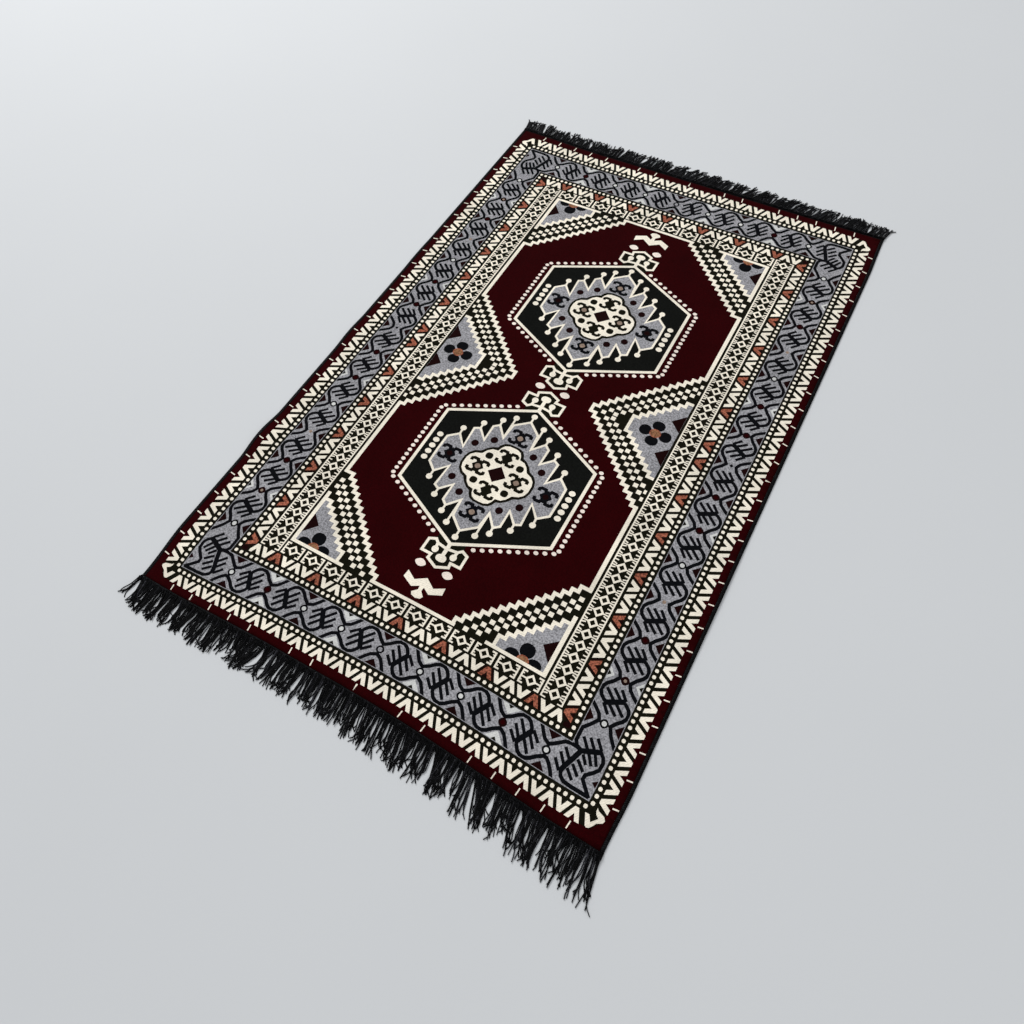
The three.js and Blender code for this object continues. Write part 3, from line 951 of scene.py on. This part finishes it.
def tube_faces(points, around, along):
    """Quads of a tube of rings with a fan of quads over each end, and its map in mm for each corner."""
    rings, sides = points.shape[:2]
    index = np.arange(rings * sides).reshape(rings, sides)
    following = np.roll(index, -1, axis=1)
    quads = np.stack([index[:-1], index[1:], following[1:], following[:-1]], axis=-1).reshape(-1, 4)
    half = sides // 2
    left = np.arange(half - 1)
    cap = np.stack([left, left + 1, sides - 2 - left, sides - 1 - left], axis=1)
    caps = np.vstack([index[0][cap[:, ::-1]], index[-1][cap]])
    faces = np.vstack([quads, caps])
    ring, turn = np.divmod(faces, sides)
    u = turn.astype(float) * 22.0 / sides
    wrap = np.zeros_like(u)
    last = turn[: len(quads), 0] == sides - 1
    wrap[: len(quads)][last, 2:] = 22.0
    v = along.reshape(-1)[faces]
    return faces, np.stack([u + wrap, v], axis=-1).reshape(-1, 2)


def outward(mesh):
    """Turns every face of a closed mesh to point out."""
    work = bmesh.new()
    work.from_mesh(mesh)
    bmesh.ops.recalc_face_normals(work, faces=work.faces)
    work.to_mesh(mesh)
    work.free()
    mesh.update()


# For each end's fringe, from its left over its middle to its right: the yarns' length in mm and their lean
NEAR_END = {"end": -1, "lengths": (62, 70, 80), "lean": (-0.02, 0.05, 0.12), "seed": 11}
FAR_END = {"end": 1, "lengths": (50, 53, 48), "lean": (-0.22, 0.36, 0.24), "seed": 23}


class KILIM_OT_fringes(bpy.types.Operator):
    """The yarn fringe of both ends, each on its header"""

    bl_idname = "kilim.fringes"
    bl_label = "Add Fringes"

    def execute(self, context):
        sizes, colours = context.scene.kilim_sizes, context.scene.kilim_colours
        yarn = twisted_yarn("twisted black polyester fringe yarn", tuple(colours.fringe), 3.0, 0.05, 2.5)
        # Painted highlights: a paler yarn, nine times the fringe colour, for the yarns that catch the light
        glinting = tuple(9.0 * c for c in colours.fringe)
        worn_and_glinting = twisted_yarn("worn black polyester fringe yarn", glinting, 3.0, 0.05, 2.0)
        for name, kind, count in (("fringe_yarns_near", NEAR_END, sizes.yarns_near),
                                  ("fringe_yarns_far", FAR_END, sizes.yarns_far)):
            fringe = yarn_fringe(name, kind, count, sizes.yarn * 1000)
            fringe.data.materials.append(yarn)
            fringe.data.materials.append(worn_and_glinting)
            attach(fringe, "root")
            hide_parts("fringe_near" if kind["end"] < 0 else "fringe_far")
        return {"FINISHED"}


def yarn_fringe(name, kind, count, thickness):
    """Yarns from the top of a header down to the floor, each a round tube along its own curve.

    Yarns lie in locks of 5 to 11. With t from 0 to 1 along a yarn, it leans by lean * length * t, draws in
    to its lock's middle by 0.25 t, sways by size * t^2 * sin(turns * pi * t + phase), and its tip hooks
    aside by hook * (t - 0.7)^2. Lean and sway are a lock's own value plus a smaller one of the yarn's.
    """
    chance = np.random.default_rng(kind["seed"])
    end = kind["end"]
    rings, sides = 12, 6
    root = (np.arange(count) + 0.5) / count
    first = lie(np.array([-CLOTH_HALF_WIDTH]), np.array([end * CLOTH_HALF_LENGTH]))[0, 0] - 9
    last = lie(np.array([CLOTH_HALF_WIDTH]), np.array([end * CLOTH_HALF_LENGTH]))[0, 0] + 9
    flat_x = np.clip(-600 + 1200 * root, -CLOTH_HALF_WIDTH, CLOTH_HALF_WIDTH)
    edge = lie(flat_x, np.full(count, end * CLOTH_HALF_LENGTH))
    x0 = first + (last - first) * root + chance.uniform(-1.2, 1.2, count)
    y0 = edge[:, 1] + end * (SEAM_GAP + 1.6 + chance.uniform(0, 6.0, count))
    lock = np.searchsorted(np.cumsum(chance.integers(5, 12, count)), np.arange(count), side="right")
    locks = lock.max() + 1

    def each(of_lock, of_yarn):
        return chance.normal(0, of_lock, locks)[lock] + chance.normal(0, of_yarn, count)

    middle = np.bincount(lock, weights=x0) / np.maximum(1, np.bincount(lock))
    usual = np.interp(root, (0, 0.5, 1), kind["lengths"])
    length = usual * np.clip(1.0 + each(0.12, 0.10), 0.6, 1.22)
    if end < 0:
        length[-3:] = (96, 104, 101)
    lean = np.interp(root, (0, 0.5, 1), kind["lean"]) + each(0.13, 0.06)
    t = np.linspace(0, 1, rings)[None, :]
    turns = (1.5 + np.abs(each(0.35, 0.25)))[:, None]
    phase = (chance.uniform(0, 2 * math.pi, locks)[lock] + chance.normal(0, 0.5, count))[:, None]
    size = each(3.6, 3.2)[:, None]
    hook = np.where(chance.random(count) < 0.4, chance.normal(0, 95, count), 0.0)[:, None]
    x = x0[:, None] + (lean * length)[:, None] * t + 0.25 * (middle[lock] - x0)[:, None] * t
    x = x + size * t**2 * np.sin(turns * math.pi * t + phase) + hook * np.maximum(0, t - 0.7) ** 2
    slack = 0.03 * np.abs(np.sin(turns * t)) + 0.0012 * np.abs(hook) * np.maximum(0, t - 0.7)
    y = y0[:, None] + end * length[:, None] * t * (1 - slack)
    radius = thickness / 2 * (1 - 0.1 * t**3) * chance.uniform(0.8, 1.15, count)[:, None]
    height = 3.9 + chance.uniform(0, 1.5, count)[:, None]
    settled = np.clip(1 - t / 0.34, 0, 1) ** 1.5
    heap = np.abs(each(1.1, 0.9))[:, None] * (1 - 0.6 * t)
    z = radius + 0.05 + np.maximum(height * settled, np.minimum(heap, 3.4))
    centre = np.stack([x, y, z], axis=-1)
    heading = np.gradient(centre, axis=1)
    heading /= np.linalg.norm(heading, axis=-1, keepdims=True)
    over = np.cross(heading, np.array([0.0, 0.0, 1.0]))
    over /= np.linalg.norm(over, axis=-1, keepdims=True)
    up = np.cross(over, heading)
    angle = (np.arange(sides) + 0.5) * 2 * math.pi / sides
    ring = np.cos(angle)[:, None] * over[:, :, None] + np.sin(angle)[:, None] * up[:, :, None]
    points = centre[:, :, None] + radius[:, :, None, None] * ring
    header_points, header_faces = header_strip(end)
    index = np.arange(count * rings * sides).reshape(count, rings, sides)
    following = np.roll(index, -1, axis=2)
    quads = np.stack([index[:, :-1], index[:, 1:], following[:, 1:], following[:, :-1]], axis=-1).reshape(-1, 4)
    caps = np.vstack([index[:, 0][:, [[0, 1, 4, 5], [1, 2, 3, 4]]].reshape(-1, 4),
                      index[:, -1][:, [[5, 4, 1, 0], [4, 3, 2, 1]]].reshape(-1, 4)])
    yarn_faces = np.vstack([quads, caps])
    every = np.vstack([points.reshape(-1, 3), header_points])
    faces = np.vstack([yarn_faces, header_faces + len(points.reshape(-1, 3))])
    travelled = (length[:, None] * t)[:, :, None].repeat(sides, axis=2).ravel()
    u = np.tile(np.arange(sides) * 7.2 / sides, count * rings)
    header_v = header_points[:, 0]
    header_u = np.abs(header_points[:, 1] - header_points[:, 1].mean()) % 50
    flat_u, flat_v = np.concatenate([u, header_u]), np.concatenate([travelled, header_v])
    uv = np.stack([flat_u[faces], flat_v[faces]], axis=-1)
    wrap = uv[..., 0].max(axis=1) - uv[..., 0].min(axis=1) > 3.6
    own = np.arange(len(faces)) < len(quads)
    low = uv[..., 0] < 1.3
    uv[..., 0] += np.where((wrap & own)[:, None] & low, 7.2, 0.0)
    # Painted highlights: about one yarn in eight takes the paler second material
    glinting = (chance.random(count) < 0.12).astype(int)
    slots = np.concatenate([
        glinting.repeat((rings - 1) * sides), glinting.repeat(2), glinting.repeat(2), np.zeros(len(header_faces), int),
    ])
    piece = mesh_object(name, every, faces, slots)
    set_map(piece.data, "Yarn", uv.reshape(-1, 2))
    outward(piece.data)
    return piece


def header_strip(end):
    """The header that holds the roots: a low strip with rounded edges, knotted every few mm along it."""
    count = 560
    x = np.linspace(-600, 600, count + 1)
    flat = lie(np.clip(x, -CLOTH_HALF_WIDTH, CLOTH_HALF_WIDTH), np.full(count + 1, end * CLOTH_HALF_LENGTH))
    across = flat[:, 0] + (x - np.clip(x, -CLOTH_HALF_WIDTH, CLOTH_HALF_WIDTH))
    profile = np.array([
        (0.05, 0.0), (14.3, 0.0), (14.3, 1.6), (13.0, 3.4), (9.5, 4.0), (4.5, 4.0), (1.2, 3.6), (0.05, 2.6),
    ])
    knots = 1.0 - 0.3 * (0.5 + 0.5 * np.cos(2 * math.pi * x / 4.3))[:, None] * (profile[:, 1] > 1)[None, :]
    y = flat[:, 1][:, None] + end * profile[None, :, 0]
    z = profile[None, :, 1] * knots
    points = np.stack([np.broadcast_to(across[:, None], y.shape), y, z], axis=-1)
    faces, _ = tube_faces(points, None, np.zeros(points.shape[:2]))
    return points.reshape(-1, 3), faces


class KILIM_OT_cloth(bpy.types.Operator):
    """The woven cloth with its pattern, top and underside"""

    bl_idname = "kilim.cloth"
    bl_label = "Add Cloth"

    def execute(self, context):
        sizes, colours = context.scene.kilim_sizes, context.scene.kilim_colours
        cloth = woven_cloth("kilim_cloth", sizes.thickness * 1000, sizes.spacing * 1000)
        for material in cloth_materials(colours):
            cloth.data.materials.append(material)
        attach(cloth, "root")
        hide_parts("rug_panel")
        return {"FINISHED"}


def cloth_materials(colours):
    """One chenille for each yarn, in slot order, then the same yarns as the back of the weave shows them."""
    # Each yarn: its name, colour, how far its tufts differ and how dark the shade painted into its furrows is
    own = [
        ("burgundy chenille", colours.burgundy, 0.22, 0.05),
        ("olive black chenille", colours.olive_black, 0.3, 0.0),
        ("medallion black chenille", colours.medallion_black, 0.3, 0.0),
        ("cream chenille", colours.cream, 0.1, 0.16),
        ("blush chenille", colours.blush, 0.1, 0.16),
        ("pale grey chenille", colours.pale, 0.12, 0.12),
        ("heathered grey chenille", colours.grey, 0.45, 0.1),
        ("rust chenille", colours.rust, 0.6, 0.1),
        ("amber chenille", colours.amber, 0.5, 0.1),
        ("tan chenille", colours.tan, 0.25, 0.1),
        ("blue black chenille", colours.blue_black, 0.3, 0.0),
        ("wine chenille", colours.wine, 0.3, 0.0),
    ]
    front = [chenille(name, tuple(colour), mottle, furrow_shade) for name, colour, mottle, furrow_shade in own]
    back = []
    for name, colour, mottle, _ in own:
        muted = tuple(0.62 * c + 0.38 * m for c, m in zip(colour, (0.05, 0.035, 0.035)))
        back.append(chenille(name + " back", muted, mottle, 0.1, 0.8))
    return front + back


def woven_cloth(name, thickness, spacing):
    """The cloth as one closed sheet: the charted top, its mirror image below, and a wall between them."""
    flat, faces, yarns = whole_cloth(*woven_quarter(quarter_chart(), spacing))
    placed = drifted(flat)
    below = lie(placed[:, 0], placed[:, 1])
    above = below + (0, 0, thickness)
    count = len(flat)
    rim = open_edges(faces)
    walls = np.stack([rim[:, 1], rim[:, 0], rim[:, 0] + count, rim[:, 1] + count], axis=1)
    every = faces.tolist() + (faces[:, ::-1] + count).tolist() + walls.tolist()
    slots = np.concatenate([yarns, yarns + YARN_COUNT, np.zeros(len(walls), int)])
    piece = mesh_object(name, np.vstack([above, below]), every, slots)
    mesh = piece.data
    u = (flat[:, 0] + CLOTH_HALF_WIDTH) / (2 * CLOTH_HALF_WIDTH)
    v = (flat[:, 1] + CLOTH_HALF_LENGTH) / (2 * CLOTH_HALF_LENGTH)
    top = np.stack([0.004 + 0.79 * u[faces], 0.004 + 0.96 * v[faces]], axis=-1)
    under = np.stack([0.804 + 0.19 * u[faces[:, ::-1]], 0.004 + 0.96 * v[faces[:, ::-1]]], axis=-1)
    share = np.arange(len(walls)) / len(walls)
    width = 0.98 / len(walls)
    quad_u = np.stack([share, share + width * 0.9, share + width * 0.9, share], axis=1) * 0.98 + 0.01
    quad_v = np.tile([0.975, 0.975, 0.99, 0.99], (len(walls), 1))
    wall = np.stack([quad_u, quad_v], axis=-1)
    set_map(mesh, "OFBake", np.vstack([top.reshape(-1, 2), under.reshape(-1, 2), wall.reshape(-1, 2)]))
    return piece


CAMERA_PLACE = (0.5062, -0.92853, 1.3628)
CAMERA_TURN = {"azimuth": 36.4697, "elevation": 62.7837, "roll": -7.2471}
CAMERA_LENS = 22.7118


class KILIM_OT_stage(bpy.types.Operator):
    """A plain pale floor, soft studio light and the camera"""

    bl_idname = "kilim.stage"
    bl_label = "Add Stage"

    def execute(self, context):
        colours = context.scene.kilim_colours
        floor = bpy.data.objects.new("floor", bpy.data.meshes.new("floor"))
        floor.data.from_pydata([(-14, -14, 0), (14, -14, 0), (14, 14, 0), (-14, 14, 0)], [], [(0, 1, 2, 3)])
        floor.data.materials.append(painted_floor("eggshell floor paint", tuple(colours.floor)))
        context.scene.collection.objects.link(floor)
        soft_light("window_light", (-5.5, 3.8, 6.2), 4.5, 560.0)
        soft_light("fill_light", (2.4, -1.8, 3.2), 3.4, 20.0)
        world = bpy.data.worlds.new("studio")
        world.use_nodes = True
        world.node_tree.nodes["Background"].inputs[0].default_value = (*linear("#f4f6fa"), 1.0)
        world.node_tree.nodes["Background"].inputs[1].default_value = 0.62
        context.scene.world = world
        context.scene.view_settings.view_transform = "Standard"
        context.scene.camera = photo_camera(context)
        return {"FINISHED"}


def soft_light(name, place, size, power):
    """A square softbox aimed at the rug's middle."""
    data = bpy.data.lights.new(name, "AREA")
    data.shape = "SQUARE"
    data.size = size
    data.energy = power
    lamp = bpy.data.objects.new(name, data)
    lamp.location = place
    lamp.rotation_euler = (-Vector(place)).to_track_quat("-Z", "Y").to_euler()
    bpy.context.scene.collection.objects.link(lamp)
    return lamp


def photo_camera(context):
    """The camera from the fit to the picture: its place, heading, tilt and roll, and its lens."""
    heading = math.radians(CAMERA_TURN["azimuth"])
    tilt = math.radians(CAMERA_TURN["elevation"])
    roll = math.radians(CAMERA_TURN["roll"])
    forward = Vector((-math.sin(heading) * math.cos(tilt), math.cos(heading) * math.cos(tilt), -math.sin(tilt)))
    level = forward.cross(Vector((0, 0, 1))).normalized()
    over = level.cross(forward)
    right = math.cos(roll) * level + math.sin(roll) * over
    up = -math.sin(roll) * level + math.cos(roll) * over
    turn = Matrix((right, up, -forward)).transposed()
    data = bpy.data.cameras.new("camera")
    data.sensor_width = 36.0
    data.sensor_fit = "HORIZONTAL"
    data.lens = CAMERA_LENS
    data.clip_start = 0.05
    camera = bpy.data.objects.new("camera", data)
    camera.matrix_world = Matrix.Translation(Vector(CAMERA_PLACE) + Vector(SHIFT / 1000)) @ turn.to_4x4()
    context.scene.collection.objects.link(camera)
    return camera


class KILIM_PT_panel(bpy.types.Panel):
    """The rug's sizes, colours and pieces in the sidebar"""

    bl_label = "Kilim Rug"
    bl_idname = "KILIM_PT_panel"
    bl_space_type = "VIEW_3D"
    bl_region_type = "UI"
    bl_category = "Rug"

    def draw(self, context):
        for group in (context.scene.kilim_sizes, context.scene.kilim_colours):
            box = self.layout.box()
            for name in group.__annotations__:
                box.prop(group, name)
        for operator in PIECES:
            self.layout.operator(operator.bl_idname)


PIECES = (KILIM_OT_edgings, KILIM_OT_fringes, KILIM_OT_cloth, KILIM_OT_stage)
CLASSES = (KilimSizes, KilimColours, *PIECES, KILIM_PT_panel)


def register():
    for item in CLASSES:
        bpy.utils.register_class(item)
    bpy.types.Scene.kilim_sizes = bpy.props.PointerProperty(type=KilimSizes)
    bpy.types.Scene.kilim_colours = bpy.props.PointerProperty(type=KilimColours)


def unregister():
    del bpy.types.Scene.kilim_colours
    del bpy.types.Scene.kilim_sizes
    for item in reversed(CLASSES):
        bpy.utils.unregister_class(item)


def main():
    """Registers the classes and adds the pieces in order."""
    register()
    bpy.ops.kilim.edgings()
    bpy.ops.kilim.fringes()
    bpy.ops.kilim.cloth()
    bpy.ops.kilim.stage()


if __name__ == "__main__":
    main()
